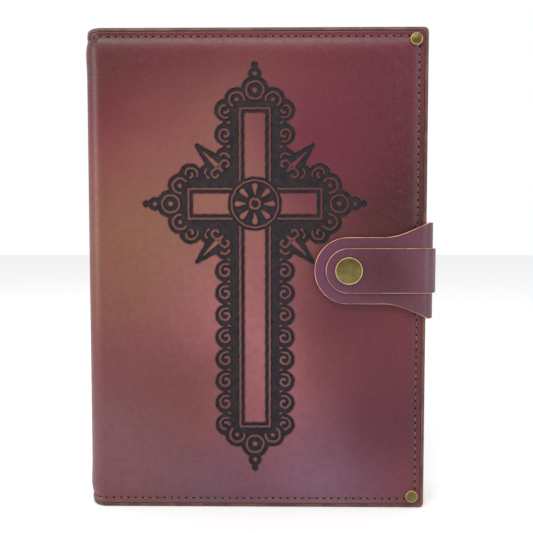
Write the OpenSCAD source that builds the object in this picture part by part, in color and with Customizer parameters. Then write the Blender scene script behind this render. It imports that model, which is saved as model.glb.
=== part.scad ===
// Prayer book in a slip-on leather cover with a snap strap.
// The book stands on its bottom edge: +Z up, spine at -X, front cover facing -Y.
// The origin is on the floor, under the middle of the whole object.

/* [Leather cover] */
// Width of each cover, from the spine to the fore-edge
cover_w = 160; // [150:1:175]
// Height of the cover
cover_h = 225; // [205:1:245]
// Thickness of the closed cover, leather to leather
cover_t = 34; // [32:0.5:40]
// Thickness of the outer leather
leather_t = 2; // [1.8:0.1:2.2]
// Outer radius of the leather where it turns around the spine
spine_bend_r = 9; // [8:0.5:10]
// Radius of the two outer corners at the fore-edge
corner_r = 3; // [2:0.5:5]
// Distance of the seam from the edge
seam_inset = 4.3; // [4:0.1:4.6]
// Width of the pocket that holds each board
pocket_w = 66; // [50:1:90]
// Thickness of the pocket leather
pocket_t = 1.3; // [1.1:0.1:1.5]
// Width of the pocket's rim, where it is glued and sewn to the outer leather
rim_w = 4.7; // [4.6:0.1:4.7]

/* [Book] */
// Thickness of the book's two boards
board_t = 2.4; // [2:0.1:2.6]
// Thickness of the endpapers
paper_t = 0.2; // [0.15:0.05:0.3]
// Radius of the boards' corners at the fore-edge, which lets the rivets pass
board_corner_r = 9; // [8.5:0.5:14]
// Distance from the outside of the spine to the folds of the sections
fold_depth = 6.2; // [6.2:0.1:7]
// Radius of the headbands
headband_r = 0.9; // [0.7:0.1:1.1]

/* [Strap] */
// Height of the strap's middle above the bottom edge
strap_z = 113; // [90:1:130]
// Width of the lower layer at the snap
base_w = 30.8; // [28:0.1:36]
// Width of the lower layer where it passes round the fore-edge
flare_w = 44.8; // [40:0.2:52]
// Length over which the lower layer widens
flare_length = 17; // [12:1:20]
// Thickness of the lower layer
base_t = 1.6; // [1.2:0.1:2]
// Width of the upper layer
top_w = 20.7; // [18:0.1:24]
// Thickness of the upper layer
top_t = 1.3; // [1:0.1:1.6]
// Gap between the strap and the cover at the fore-edge and under the tab
strap_gap = 2; // [2:0.1:2.2]
// Inner radius of the strap's bend at the front
front_bend_r = 6; // [4:0.5:6]
// Length of the strap on the back cover
anchor_length = 62; // [55:1:75]

/* [Snap and rivets] */
// Distance of the snap from the fore-edge
snap_inset = 37; // [32:0.1:42]
// Radius of the snap's cap
snap_r = 6.25; // [5.5:0.05:7]
// Height of the snap's cap
snap_cap_t = 1.4; // [1.1:0.1:1.8]
// Radius of the snap's socket
socket_r = 5.2; // [4.8:0.1:5.6]
// Radius of the rivets' heads
rivet_r = 3; // [2.5:0.1:3.5]
// Height of the rivets' heads
rivet_cap_t = 0.9; // [0.7:0.1:1.2]
// Distance of the corner rivets from both edges
rivet_inset = 6; // [6:0.1:7]

/* [Hidden] */
// sewing in the folds of the sections
sewing_thread_r = 0.4;
sewing_margin = 6;
$fn = 64;

strap_t = base_t + top_t;
strap_reach = strap_gap + strap_t;
front_reach = strap_gap + strap_t + snap_cap_t;
back_reach = strap_t + rivet_cap_t;

// Planes that the whole object is set out from
spine_x = -(cover_w + strap_reach) / 2;
fore_x = spine_x + cover_w;
mid_y = (front_reach - back_reach) / 2;
front_y = mid_y - cover_t / 2;
back_y = mid_y + cover_t / 2;

// Depths from a cover's outer face to the faces inside it
board_depth = leather_t;
endpaper_depth = board_depth + board_t;
pocket_depth = endpaper_depth + paper_t;
cover_depth = pocket_depth + pocket_t;

// Book block: four sections in each half, about the middle plane
sections_in_half = 4;
page_w = cover_w - 14;
page_h = cover_h - 15;
page_z = 7.5;
page_gap = 0.15;
section_gap = 0.05;
half_block_t = cover_t / 2 - cover_depth - page_gap;
section_pitch = (half_block_t - paper_t) / sections_in_half;
section_t = section_pitch - section_gap;
fold_x = spine_x + fold_depth;
headband_clear = 0.05;

// Boards and the card strip in the book's own spine
board_x = spine_x + spine_bend_r + 1;
board_edge = 5;
endpaper_inset = 2;
spine_card_t = 1;
spine_card_clear = 0.35;
spine_card_inset = 7.5;

// Fastenings
thread_r = 0.3;
groove_r = 0.4;
thread_depth = 0.32;
groove_depth = 0.3;
post_r = 1.25;
fit = 0.05;
back_head_r = 2.6;
back_head_t = 0.5;
edge_t = 0.4;
snap_x = fore_x - snap_inset;

// Snap: stud on the cover, socket and cap on the tab
stud_flange_r = 5;
stud_flange_t = 0.6;
stud_bead_r = 2.3;
stud_neck_r = 1.95;
stud_neck_h = 0.5;
stud_h = 1.3;
stud_post_r = 1.5;
stud_back_r = 4;
cap_post_r = 1.7;
socket_clear = 0.1;
socket_mouth = 1.45;

// Strap bends and its anchorage on the back cover
back_bend_r = 1.7;
back_bend_x = fore_x + strap_gap - back_bend_r;
front_bend_x = fore_x + strap_gap - front_bend_r;
top_end_inset = 8;
anchor_corner_r = 8;
anchor_seam_inset = 3;
anchor_seam_stop = 6;
anchor_rivets = [14, 46];

leather_color = [0.47, 0.24, 0.27];
strap_color = [0.46, 0.27, 0.33];
inner_leather_color = [0.40, 0.25, 0.21];
thread_color = [0.45, 0.38, 0.25];
brass_color = [0.55, 0.50, 0.33];
board_color = [0.24, 0.14, 0.15];
paper_color = [0.93, 0.90, 0.82];
headband_color = [0.72, 0.66, 0.52];

// Draws its children on the back cover, as the mirror image of the front
module on_back() {
    translate([0, 2 * mid_y, 0]) mirror([0, 1, 0]) children();
}

// Extrudes an outline in X and Z between two depths below the front face
module sheet(depth, thickness) {
    translate([0, front_y + depth + thickness, 0])
        rotate([90, 0, 0]) linear_extrude(thickness) children();
}

// Places its children on the front face at x and z, with their +Z pointing outwards
module on_face(x, z) {
    translate([x, front_y, z]) rotate([90, 0, 0]) children();
}

// Rectangle with its two corners at the right rounded
module edge_rounded(x0, z0, x1, z1, r) {
    translate([x0, z0]) square([x1 - r - x0, z1 - z0]);
    translate([x0, z0 + r]) square([x1 - x0, z1 - z0 - 2 * r]);
    for (z = [z0 + r, z1 - r]) translate([x1 - r, z]) circle(r);
}

// Round disc with a domed top
module domed_disc(r, edge_h, h) {
    dome_r = (r * r + (h - edge_h) * (h - edge_h)) / (2 * (h - edge_h));
    intersection() {
        cylinder(r = r, h = h);
        translate([0, 0, h - dome_r]) sphere(dome_r);
    }
}

// Round bar from a to b, two points in X and Z on one line along X or Z
module bar(a, b, r) {
    translate([a.x, 0, a.y])
        rotate([0, a.y == b.y ? 90 : 0, 0])
            cylinder(r = r, h = norm(b - a), $fn = 24);
}

// Path of a seam along the top, the fore-edge and the bottom of a panel
module seam(x0, z0, x1, z1, r, depth) {
    translate([0, front_y + depth, 0]) {
        bar([x0, z0], [x1, z0], r);
        bar([x0, z1], [x1, z1], r);
        bar([x1, z0], [x1, z1], r);
        for (z = [z0, z1]) translate([x1, 0, z]) sphere(r, $fn = 24);
    }
}

module cover_seam(r, depth) {
    seam(spine_x + spine_bend_r, seam_inset, fore_x - seam_inset, cover_h - seam_inset, r, depth);
}

module at_corner_rivets() {
    for (z = [rivet_inset, cover_h - rivet_inset]) on_face(fore_x - rivet_inset, z) children();
}

// Outer leather of one cover, grooved for its seam and pierced for the corner rivets
module cover_leather() {
    difference() {
        sheet(0, leather_t)
            edge_rounded(spine_x + spine_bend_r, 0, fore_x, cover_h, corner_r);
        cover_seam(groove_r, groove_depth);
        at_corner_rivets()
            translate([0, 0, -leather_t - 1]) cylinder(r = post_r + fit, h = leather_t + 2);
    }
}

// Pocket leaf with the rim that closes it to the outer leather on three sides
module pocket() {
    difference() {
        union() {
            sheet(pocket_depth, pocket_t)
                edge_rounded(fore_x - pocket_w, 0, fore_x, cover_h, corner_r);
            sheet(leather_t, pocket_depth - leather_t) difference() {
                edge_rounded(fore_x - pocket_w, 0, fore_x, cover_h, corner_r);
                translate([fore_x - pocket_w - 1, rim_w])
                    square([pocket_w + 1 - rim_w, cover_h - 2 * rim_w]);
            }
        }
        at_corner_rivets() translate([0, 0, -cover_depth - 1]) {
            cylinder(r = post_r + fit, h = cover_depth);
            cylinder(r = back_head_r + fit, h = 1 + back_head_t);
        }
    }
}

module rivet_caps_pair() {
    at_corner_rivets() domed_disc(rivet_r, edge_t, rivet_cap_t);
}

module rivet_posts_pair() {
    at_corner_rivets() translate([0, 0, -cover_depth]) {
        cylinder(r = post_r, h = cover_depth);
        cylinder(r = back_head_r, h = back_head_t);
    }
}

module book_board() {
    sheet(board_depth, board_t)
        edge_rounded(board_x, board_edge, fore_x - board_edge, cover_h - board_edge, board_corner_r);
}

module pastedown() {
    inset = board_edge + endpaper_inset;
    sheet(endpaper_depth, paper_t)
        edge_rounded(board_x + endpaper_inset, inset, fore_x - inset, cover_h - inset, board_corner_r);
}

// Leaf of the endpaper that turns with the first section
module flyleaf() {
    translate([fold_x + section_t / 2, mid_y - half_block_t, page_z])
        cube([page_w - section_t / 2, paper_t, page_h]);
}

// One folded and sewn section of leaves, counted from the middle of the book outwards
module section(index) {
    r = section_t / 2;
    translate([fold_x, mid_y - index * section_pitch - section_gap - r, page_z])
        linear_extrude(page_h) {
            translate([r, 0]) circle(r);
            translate([r, -r]) square([page_w - r, section_t]);
        }
}

module headband_pair() {
    length = half_block_t - section_gap - paper_t;
    for (z = [page_z - headband_r - headband_clear, page_z + page_h + headband_r + headband_clear])
        translate([fold_x + section_t / 2, mid_y - section_gap, z])
            rotate([90, 0, 0]) cylinder(r = headband_r, h = length, $fn = 24);
}

// Leather that turns around one corner of the spine
module joint_leather() {
    translate([spine_x + spine_bend_r, front_y + spine_bend_r, 0])
        rotate([0, 0, 180]) rotate_extrude(angle = 90)
            translate([spine_bend_r - leather_t, 0]) square([leather_t, cover_h]);
}

module spine_seam(r, depth) {
    for (z = [seam_inset, cover_h - seam_inset])
        translate([spine_x + depth, front_y + spine_bend_r, z])
            rotate([-90, 0, 0]) cylinder(r = r, h = cover_t - 2 * spine_bend_r, $fn = 24);
}

// Strap outline with a round end about the snap, widening towards the fore-edge
function flare(t) = base_w + (flare_w - base_w) * t * t * (3 - 2 * t);
flare_steps = 16;
flare_x = front_bend_x - flare_length;
module tab_outline() {
    edge = [for (i = [0:flare_steps])
        [flare_x + flare_length * i / flare_steps, flare(i / flare_steps) / 2]];
    translate([0, strap_z]) {
        translate([snap_x, 0]) circle(base_w / 2);
        polygon(concat(
            [[snap_x, base_w / 2]], edge,
            [for (i = [flare_steps:-1:0]) [edge[i].x, -edge[i].y]],
            [[snap_x, -base_w / 2]]
        ));
    }
}

module tab_hole() {
    on_face(snap_x, strap_z) cylinder(r = cap_post_r + fit, h = front_reach + 1);
}

// Part of the strap that passes round the fore-edge, a gap away from the cover
module strap_side(gap, thickness, width) {
    front_r = front_bend_r + gap - strap_gap;
    back_r = back_bend_r + gap - strap_gap;
    y0 = front_y - strap_gap + front_bend_r;
    y1 = back_y - back_bend_r;
    translate([0, 0, strap_z - width / 2]) {
        translate([front_bend_x, y0, 0]) rotate([0, 0, -90]) rotate_extrude(angle = 90)
            translate([front_r, 0]) square([thickness, width]);
        translate([fore_x + gap, y0, 0]) cube([thickness, y1 - y0, width]);
        translate([back_bend_x, y1, 0]) rotate_extrude(angle = 90)
            translate([back_r, 0]) square([thickness, width]);
    }
}

module at_anchor_rivets() {
    for (inset = anchor_rivets) on_back() on_face(fore_x - inset, strap_z) children();
}

module anchor_hole() {
    at_anchor_rivets()
        translate([0, 0, -leather_t - 1]) cylinder(r = post_r + fit, h = leather_t + strap_t + 2);
}

module anchor_seam(r, depth) {
    half = flare_w / 2 - anchor_seam_inset;
    x0 = fore_x - anchor_length + anchor_seam_inset;
    on_back() translate([0, front_y - base_t + depth, 0]) {
        for (z = [-half, half])
            bar([x0, strap_z + z], [fore_x - anchor_seam_stop, strap_z + z], r);
        bar([x0, strap_z - half], [x0, strap_z + half], r);
        for (z = [-half, half]) translate([x0, 0, strap_z + z]) sphere(r, $fn = 24);
    }
}

module front_leather() {
    color(leather_color) difference() {
        cover_leather();
        on_face(snap_x, strap_z) {
            translate([0, 0, -stud_flange_t]) cylinder(r = stud_flange_r + fit, h = 2);
            translate([0, 0, -leather_t - 1]) cylinder(r = stud_post_r + fit, h = leather_t + 2);
            translate([0, 0, -leather_t - 1]) cylinder(r = stud_back_r + fit, h = 1 + back_head_t);
        }
    }
}

module back_leather() {
    color(leather_color) difference() {
        on_back() cover_leather();
        anchor_hole();
        at_anchor_rivets() translate([0, 0, -leather_t - 1])
            cylinder(r = back_head_r + fit, h = 1 + back_head_t);
    }
}

module spine_leather() {
    color(leather_color) difference() {
        translate([spine_x, front_y + spine_bend_r, 0])
            cube([leather_t, cover_t - 2 * spine_bend_r, cover_h]);
        spine_seam(groove_r, groove_depth);
    }
}

module front_joint_leather() { color(leather_color) joint_leather(); }
module back_joint_leather() { color(leather_color) on_back() joint_leather(); }
module front_pocket() { color(inner_leather_color) pocket(); }
module back_pocket() { color(inner_leather_color) on_back() pocket(); }
module front_seam_thread() { color(thread_color) cover_seam(thread_r, thread_depth); }
module spine_seam_thread() { color(thread_color) spine_seam(thread_r, thread_depth); }
module back_seam_thread() { color(thread_color) on_back() cover_seam(thread_r, thread_depth); }
module front_rivet_caps() { color(brass_color) rivet_caps_pair(); }
module front_rivet_posts() { color(brass_color) rivet_posts_pair(); }
module back_rivet_caps() { color(brass_color) on_back() rivet_caps_pair(); }
module back_rivet_posts() { color(brass_color) on_back() rivet_posts_pair(); }

module strap_base_back() {
    x0 = fore_x - anchor_length;
    half = flare_w / 2;
    color(strap_color) difference() {
        on_back() sheet(-base_t, base_t) {
            translate([x0 + anchor_corner_r, strap_z - half])
                square([back_bend_x - x0 - anchor_corner_r, flare_w]);
            translate([x0, strap_z - half + anchor_corner_r])
                square([anchor_length, flare_w - 2 * anchor_corner_r]);
            for (z = [-half + anchor_corner_r, half - anchor_corner_r])
                translate([x0 + anchor_corner_r, strap_z + z]) circle(anchor_corner_r);
        }
        anchor_seam(groove_r, groove_depth);
        anchor_hole();
    }
}

module strap_top_back() {
    x0 = fore_x - anchor_length + top_end_inset + top_w / 2;
    color(strap_color) difference() {
        on_back() sheet(-strap_t, top_t) translate([x0, strap_z]) {
            circle(top_w / 2);
            translate([0, -top_w / 2]) square([back_bend_x - x0, top_w]);
        }
        anchor_hole();
    }
}

module strap_base_side() { color(strap_color) strap_side(strap_gap, base_t, flare_w); }
module strap_top_side() { color(strap_color) strap_side(strap_gap + base_t, top_t, top_w); }

module strap_base_tab() {
    color(strap_color) difference() {
        sheet(-strap_gap - base_t, base_t) tab_outline();
        tab_hole();
    }
}

module strap_top_tab() {
    color(strap_color) difference() {
        sheet(-strap_reach, top_t) translate([snap_x, strap_z]) {
            circle(top_w / 2);
            translate([0, -top_w / 2]) square([front_bend_x - snap_x, top_w]);
        }
        tab_hole();
    }
}

module strap_anchor_thread() { color(thread_color) anchor_seam(thread_r, thread_depth); }

module strap_rivet_caps() {
    color(brass_color) at_anchor_rivets()
        translate([0, 0, strap_t]) domed_disc(rivet_r, edge_t, rivet_cap_t);
}

module strap_rivet_posts() {
    color(brass_color) at_anchor_rivets() translate([0, 0, -leather_t]) {
        cylinder(r = post_r, h = leather_t + strap_t);
        cylinder(r = back_head_r, h = back_head_t);
    }
}

module snap_cap() {
    post_h = strap_reach - socket_mouth - fit;
    color(brass_color) on_face(snap_x, strap_z) {
        translate([0, 0, strap_reach]) domed_disc(snap_r, edge_t, snap_cap_t);
        translate([0, 0, strap_reach - post_h]) cylinder(r = cap_post_r, h = post_h + edge_t);
    }
}

module snap_socket() {
    color(brass_color) on_face(snap_x, strap_z) difference() {
        translate([0, 0, socket_clear]) cylinder(r = socket_r, h = strap_gap - socket_clear);
        cylinder(r = stud_bead_r + socket_clear, h = socket_mouth);
        cylinder(r = cap_post_r + fit, h = strap_gap + 1);
    }
}

module snap_stud() {
    color(brass_color) on_face(snap_x, strap_z) difference() {
        union() {
            translate([0, 0, -stud_flange_t]) cylinder(r = stud_flange_r, h = stud_flange_t);
            cylinder(r = stud_neck_r, h = stud_neck_h);
            translate([0, 0, stud_neck_h]) cylinder(r = stud_bead_r, h = stud_h - stud_neck_h);
        }
        translate([0, 0, -stud_flange_t - 1])
            cylinder(r = stud_post_r + fit, h = 1 + stud_flange_t + stud_h - stud_neck_h);
    }
}

module snap_stud_post() {
    color(brass_color) on_face(snap_x, strap_z) translate([0, 0, -leather_t]) {
        cylinder(r = stud_back_r, h = back_head_t);
        cylinder(r = stud_post_r, h = leather_t + stud_h - stud_neck_h - fit);
    }
}

module front_board() { color(board_color) book_board(); }
module back_board() { color(board_color) on_back() book_board(); }

module book_spine() {
    color(board_color)
        translate([spine_x + leather_t + spine_card_clear, front_y + spine_card_inset, board_edge])
            cube([spine_card_t, cover_t - 2 * spine_card_inset, cover_h - 2 * board_edge]);
}

module front_endpaper() { color(paper_color) pastedown(); }
module back_endpaper() { color(paper_color) on_back() pastedown(); }
module front_flyleaf() { color(paper_color) flyleaf(); }
module back_flyleaf() { color(paper_color) on_back() flyleaf(); }
module section_1() { color(paper_color) section(3); }
module section_2() { color(paper_color) section(2); }
module section_3() { color(paper_color) section(1); }
module section_4() { color(paper_color) section(0); }
module section_5() { color(paper_color) on_back() section(0); }
module section_6() { color(paper_color) on_back() section(1); }
module section_7() { color(paper_color) on_back() section(2); }
module section_8() { color(paper_color) on_back() section(3); }

// Thread that holds the folds together, on the line that the book opens about
module sewing_thread() {
    color(thread_color) translate([fold_x, mid_y, page_z + sewing_margin])
        cylinder(r = sewing_thread_r, h = page_h - 2 * sewing_margin, $fn = 24);
}

module front_headbands() { color(headband_color) headband_pair(); }
module back_headbands() { color(headband_color) on_back() headband_pair(); }

front_leather();
front_joint_leather();
spine_leather();
back_joint_leather();
back_leather();
front_pocket();
back_pocket();
front_seam_thread();
spine_seam_thread();
back_seam_thread();
front_rivet_caps();
front_rivet_posts();
back_rivet_caps();
back_rivet_posts();
strap_base_back();
strap_base_side();
strap_base_tab();
strap_top_back();
strap_top_side();
strap_top_tab();
strap_anchor_thread();
strap_rivet_caps();
strap_rivet_posts();
snap_cap();
snap_socket();
snap_stud();
snap_stud_post();
front_board();
back_board();
book_spine();
front_endpaper();
back_endpaper();
front_flyleaf();
back_flyleaf();
section_1();
section_2();
section_3();
section_4();
section_5();
section_6();
section_7();
section_8();
sewing_thread();
front_headbands();
back_headbands();
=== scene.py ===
import math

import bmesh
import bpy
import numpy as np
from mathutils import Euler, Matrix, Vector


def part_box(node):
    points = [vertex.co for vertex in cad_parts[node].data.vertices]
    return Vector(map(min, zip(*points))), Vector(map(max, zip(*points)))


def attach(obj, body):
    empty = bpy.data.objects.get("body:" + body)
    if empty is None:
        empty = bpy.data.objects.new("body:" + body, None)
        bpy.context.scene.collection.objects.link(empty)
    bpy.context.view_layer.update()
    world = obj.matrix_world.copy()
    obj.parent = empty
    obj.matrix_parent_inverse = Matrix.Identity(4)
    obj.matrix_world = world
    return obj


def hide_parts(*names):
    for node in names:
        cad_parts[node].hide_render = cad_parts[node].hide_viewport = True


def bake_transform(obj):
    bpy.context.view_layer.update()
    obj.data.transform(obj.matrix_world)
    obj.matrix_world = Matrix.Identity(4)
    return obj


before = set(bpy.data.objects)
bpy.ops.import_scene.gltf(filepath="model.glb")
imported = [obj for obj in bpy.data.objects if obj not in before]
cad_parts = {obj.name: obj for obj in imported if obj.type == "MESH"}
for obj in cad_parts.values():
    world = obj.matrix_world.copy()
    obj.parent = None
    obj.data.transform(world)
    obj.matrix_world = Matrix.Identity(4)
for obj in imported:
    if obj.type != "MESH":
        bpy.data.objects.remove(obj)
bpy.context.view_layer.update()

# Sizes are in millimetres, and meshes are scaled to metres when they are made.
MM = 0.001


def box_mm(node):
    """Lowest and highest corner of a CAD node."""
    return [np.array(corner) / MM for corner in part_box(node)]


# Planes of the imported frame
front_low, front_high = box_mm("front_leather")
FACE_Y = front_low[1]
FORE_X = front_high[0]
HEIGHT = front_high[2]
LEATHER = front_high[1] - front_low[1]
SPINE_X = box_mm("spine_leather")[0][0]
BACK_Y = box_mm("back_leather")[1][1]
MID_Y = (FACE_Y + BACK_Y) / 2
BEND_R = front_low[0] - SPINE_X
COVER = FORE_X - front_low[0]
ARC = BEND_R * math.pi / 2
SPINE_HALF = (BACK_Y - FACE_Y) / 2 - BEND_R
CORNER_R = 3.0

# Seam of the cover, and the depth of its surface at distances from its edge: a rounded rim, the
# edge of the burnished band, the groove of the seam, and the rise of the leather over the board
SEAM = 4.3
GROOVE = 0.74
SPINE_SEAM = -3.5
EDGE_BAND = 1.9
RELIEF = np.array([
    (0.0, 1.10), (0.15, 0.85), (0.4, 0.62), (0.8, 0.47), (1.3, 0.40), (1.75, 0.42), (1.9, 0.60),
    (2.05, 0.38), (2.4, 0.28), (3.0, 0.29), (3.4, 0.38), (3.8, 0.56), (4.05, 0.70), (4.3, 0.74),
    (4.55, 0.68), (4.8, 0.57), (5.4, 0.36), (6.2, 0.16), (6.9, 0.00), (8.2, -0.20), (10.0, -0.31),
    (12.5, -0.30), (16.0, -0.16), (20.0, 0.0),
])
STITCH = 3.5
THREAD_R = 0.23

# ---- camera and lights

CAMERA_PLACE = (5.4, -263.0, 125.2)
CAMERA_TILT = -2.4
CAMERA_TURN = 0.57
LENS = 35.8

# Area lights: place and size in metres, and power in watts
LIGHTS = {
    "top_light": ((-0.15, -0.75, 1.0), (1.1, 0.4), 8),
    "left_light": ((-1.05, -0.6, 0.25), (0.4, 1.1), 7),
    "right_light": ((1.0, -0.75, 0.3), (0.3, 0.9), 2.6),
}
FLOOR_HALF = 6000.0
FLOOR_Z = -0.05


def add_camera():
    camera = bpy.data.objects.new("camera", bpy.data.cameras.new("camera"))
    bpy.context.scene.collection.objects.link(camera)
    camera.location = Vector(CAMERA_PLACE) * MM
    camera.rotation_euler = Euler((math.radians(90 + CAMERA_TILT), 0, math.radians(CAMERA_TURN)))
    camera.data.lens = LENS
    camera.data.clip_start = 0.01
    bpy.context.scene.camera = camera


def add_area(name, place, size, power):
    """Area light that points at the middle of the book."""
    light = bpy.data.objects.new(name, bpy.data.lights.new(name, "AREA"))
    bpy.context.scene.collection.objects.link(light)
    light.location = place
    direction = Vector((0, 0, HEIGHT / 2 * MM)) - Vector(place)
    light.rotation_euler = direction.to_track_quat("-Z", "Y").to_euler()
    light.data.shape = "RECTANGLE"
    light.data.size, light.data.size_y = size
    light.data.energy = power


def add_studio():
    """White surroundings that are a little darker in front of the book, where the camera stands."""
    bpy.context.scene.view_settings.view_transform = "Standard"
    world = bpy.data.worlds.new("studio")
    bpy.context.scene.world = world
    world.use_nodes = True
    nodes, links = world.node_tree.nodes, world.node_tree.links
    toward = nodes.new("ShaderNodeVectorMath")
    toward.operation = "DOT_PRODUCT"
    toward.inputs[1].default_value = (0, -1, 0)
    links.new(nodes.new("ShaderNodeTexCoord").outputs["Generated"], toward.inputs[0])
    level = nodes.new("ShaderNodeMapRange")
    level.interpolation_type = "SMOOTHSTEP"
    for key, value in (("From Min", 0.45), ("From Max", 0.95), ("To Min", 1.0), ("To Max", 0.5)):
        level.inputs[key].default_value = value
    links.new(toward.outputs["Value"], level.inputs["Value"])
    background = nodes["Background"]
    background.inputs["Color"].default_value = (1.0, 1.0, 1.0, 1)
    links.new(level.outputs["Result"], background.inputs["Strength"])
    for name, light in LIGHTS.items():
        add_area(name, *light)
    corners = [(x * FLOOR_HALF, y * FLOOR_HALF, FLOOR_Z) for x, y in ((-1, -1), (1, -1), (1, 1), (-1, 1))]
    add_mesh("floor", corners, [(0, 1, 2, 3)], [floor_material()])


# ---- meshes


def add_mesh(name, vertices, faces, materials, face_materials=None, values=None, sharp=None):
    """A mesh object from points in millimetres, with named float or vector values on its points."""
    mesh = bpy.data.meshes.new(name)
    mesh.from_pydata((np.asarray(vertices, float) * MM).tolist(), [], faces)
    for material in materials:
        mesh.materials.append(material)
    if face_materials is not None:
        mesh.polygons.foreach_set("material_index", np.asarray(face_materials, np.int32))
    for key, data in (values or {}).items():
        data = np.asarray(data, np.float32)
        kind = "FLOAT_VECTOR" if data.ndim == 2 else "FLOAT"
        field = "vector" if data.ndim == 2 else "value"
        mesh.attributes.new(key, kind, "POINT").data.foreach_set(field, data.ravel())
    mesh.shade_smooth()
    if sharp is not None:
        mesh.set_sharp_from_angle(angle=math.radians(sharp))
    mesh.validate()
    mesh.update()
    piece = bpy.data.objects.new(name, mesh)
    bpy.context.scene.collection.objects.link(piece)
    return piece


class Parts:
    """Collects several shapes into one mesh."""

    def __init__(self):
        self.vertices, self.faces, self.kinds, self.values = [], [], [], []
        self.count = 0

    def add(self, vertices, faces, kind=0, value=None):
        self.vertices.append(np.asarray(vertices, float))
        self.faces += [tuple(i + self.count for i in face) for face in faces]
        self.kinds += [kind] * len(faces)
        self.values.append(np.zeros(len(vertices)) if value is None else np.asarray(value, float))
        self.count += len(vertices)

    def piece(self, name, materials, key=None, sharp=None):
        points = np.concatenate(self.vertices)
        values = {key: np.concatenate(self.values)} if key else {}
        values["rest_place"] = points * MM
        return add_mesh(name, points, self.faces, materials, self.kinds, values, sharp)


def tube_faces(rings, sides):
    """Faces between neighbouring rings of points, with one face at each end."""
    faces = []
    for i in range(rings - 1):
        for j in range(sides):
            k = (j + 1) % sides
            faces.append((i * sides + j, (i + 1) * sides + j, (i + 1) * sides + k, i * sides + k))
    last = (rings - 1) * sides
    return faces + [tuple(range(sides)), tuple(reversed(range(last, last + sides)))]


def tube(points, radius, up, sides=7):
    """Tube along a row of points; up is a vector roughly square to the row, one for each point."""
    points = np.asarray(points, float)
    along = np.gradient(points, axis=0)
    along /= np.linalg.norm(along, axis=1)[:, None]
    side = np.cross(along, up)
    side /= np.linalg.norm(side, axis=1)[:, None]
    lift = np.cross(side, along)
    turn = np.arange(sides) * 2 * math.pi / sides
    ring = np.cos(turn)[None, :, None] * side[:, None] + np.sin(turn)[None, :, None] * lift[:, None]
    return (points[:, None] + radius * ring).reshape(-1, 3), tube_faces(len(points), sides)


def lathe(profile, place, outward, sides=72):
    """Turned shape about an axis along Y; profile is (radius, height) from the rim's back to the
    pole, and outward is the way that it rises, -1 or 1."""
    x, y, z = place
    turn = np.arange(sides) * 2 * math.pi / sides
    rings = [p for p in profile if p[0] > 0]
    vertices = []
    for radius, height in rings:
        vertices += [(x + radius * math.cos(t), y + outward * height, z + radius * math.sin(t))
                     for t in turn]
    pole, base = len(vertices), len(vertices) + 1
    vertices += [(x, y + outward * profile[-1][1], z), (x, y + outward * profile[0][1], z)]
    faces = [face[::-1] for face in tube_faces(len(rings), sides)[:-2]]
    last = (len(rings) - 1) * sides
    for j in range(sides):
        k = (j + 1) % sides
        faces += [(last + j, last + k, pole), (k, j, base)]
    return np.array(vertices), faces if outward < 0 else [face[::-1] for face in faces]


# ---- materials


def srgb(red, green, blue, gain=1.0):
    """Colour of a material from screen values of 0 to 255, made brighter or darker by gain."""
    def linear(value):
        value /= 255
        return value / 12.92 if value <= 0.04045 else ((value + 0.055) / 1.055) ** 2.4
    return tuple(min(1.0, gain * linear(value)) for value in (red, green, blue)) + (1,)


class Shader:
    """A material with a Principled surface, and short calls that add its nodes."""

    def __init__(self, name, **surface):
        self.material = bpy.data.materials.new(name)
        self.material.use_nodes = True
        self.nodes = self.material.node_tree.nodes
        self.links = self.material.node_tree.links
        self.surface = self.nodes["Principled BSDF"]
        for key, value in surface.items():
            self.surface.inputs[key.replace("_", " ").title().replace("Ior", "IOR")].default_value = value

    def add(self, kind, inputs, output=0, **settings):
        node = self.nodes.new("ShaderNode" + kind)
        for key, value in settings.items():
            setattr(node, key, value)
        for key, value in inputs.items():
            if isinstance(value, bpy.types.NodeSocket):
                self.links.new(value, node.inputs[key])
            else:
                node.inputs[key].default_value = value
        return node.outputs[output]

    def value(self, name, output="Fac"):
        return self.add("Attribute", {}, output, attribute_name=name)

    def place(self):
        return self.value("rest_place", "Vector")

    def noise(self, place, scale, detail=3.0, roughness=0.5, distortion=0.0):
        return self.add("TexNoise", {"Vector": place, "Scale": scale, "Detail": detail,
                                     "Roughness": roughness, "Distortion": distortion}, "Fac")

    def wave(self, place, scale, direction, distortion=0.0, detail=2.0):
        return self.add("TexWave", {"Vector": place, "Scale": scale, "Distortion": distortion,
                                    "Detail": detail}, "Fac", bands_direction=direction)

    def vector(self, operation, a, b, output="Vector"):
        key = "Scale" if operation == "SCALE" else 1
        return self.add("VectorMath", {0: a, key: b}, output, operation=operation)

    def math(self, operation, a, b=0.0):
        return self.add("Math", {0: a, 1: b}, operation=operation)

    def ramp(self, value, low, high, to_low=0.0, to_high=1.0):
        return self.add("MapRange", {"Value": value, "From Min": low, "From Max": high, "To Min": to_low,
                                     "To Max": to_high}, interpolation_type="SMOOTHSTEP")

    def mix(self, factor, a, b):
        return self.add("Mix", {0: factor, 6: a, 7: b}, 2, data_type="RGBA")

    def coat(self, color, height, distance, strength, **sockets):
        """The material with its colour and a bump."""
        bump = self.add("Bump", {"Height": height, "Distance": distance, "Strength": strength})
        return self.set(Base_Color=color, Normal=bump, **sockets)

    def set(self, **sockets):
        for key, socket in sockets.items():
            self.links.new(socket, self.surface.inputs[key.replace("_", " ")])
        return self.material


def floor_material():
    shader = Shader("floor", base_color=(0.93, 0.93, 0.93, 1), roughness=0.9)
    grain = shader.noise(shader.place(), 30)
    return shader.set(Roughness=shader.ramp(grain, 0.3, 0.7, 0.85, 0.95))


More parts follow.
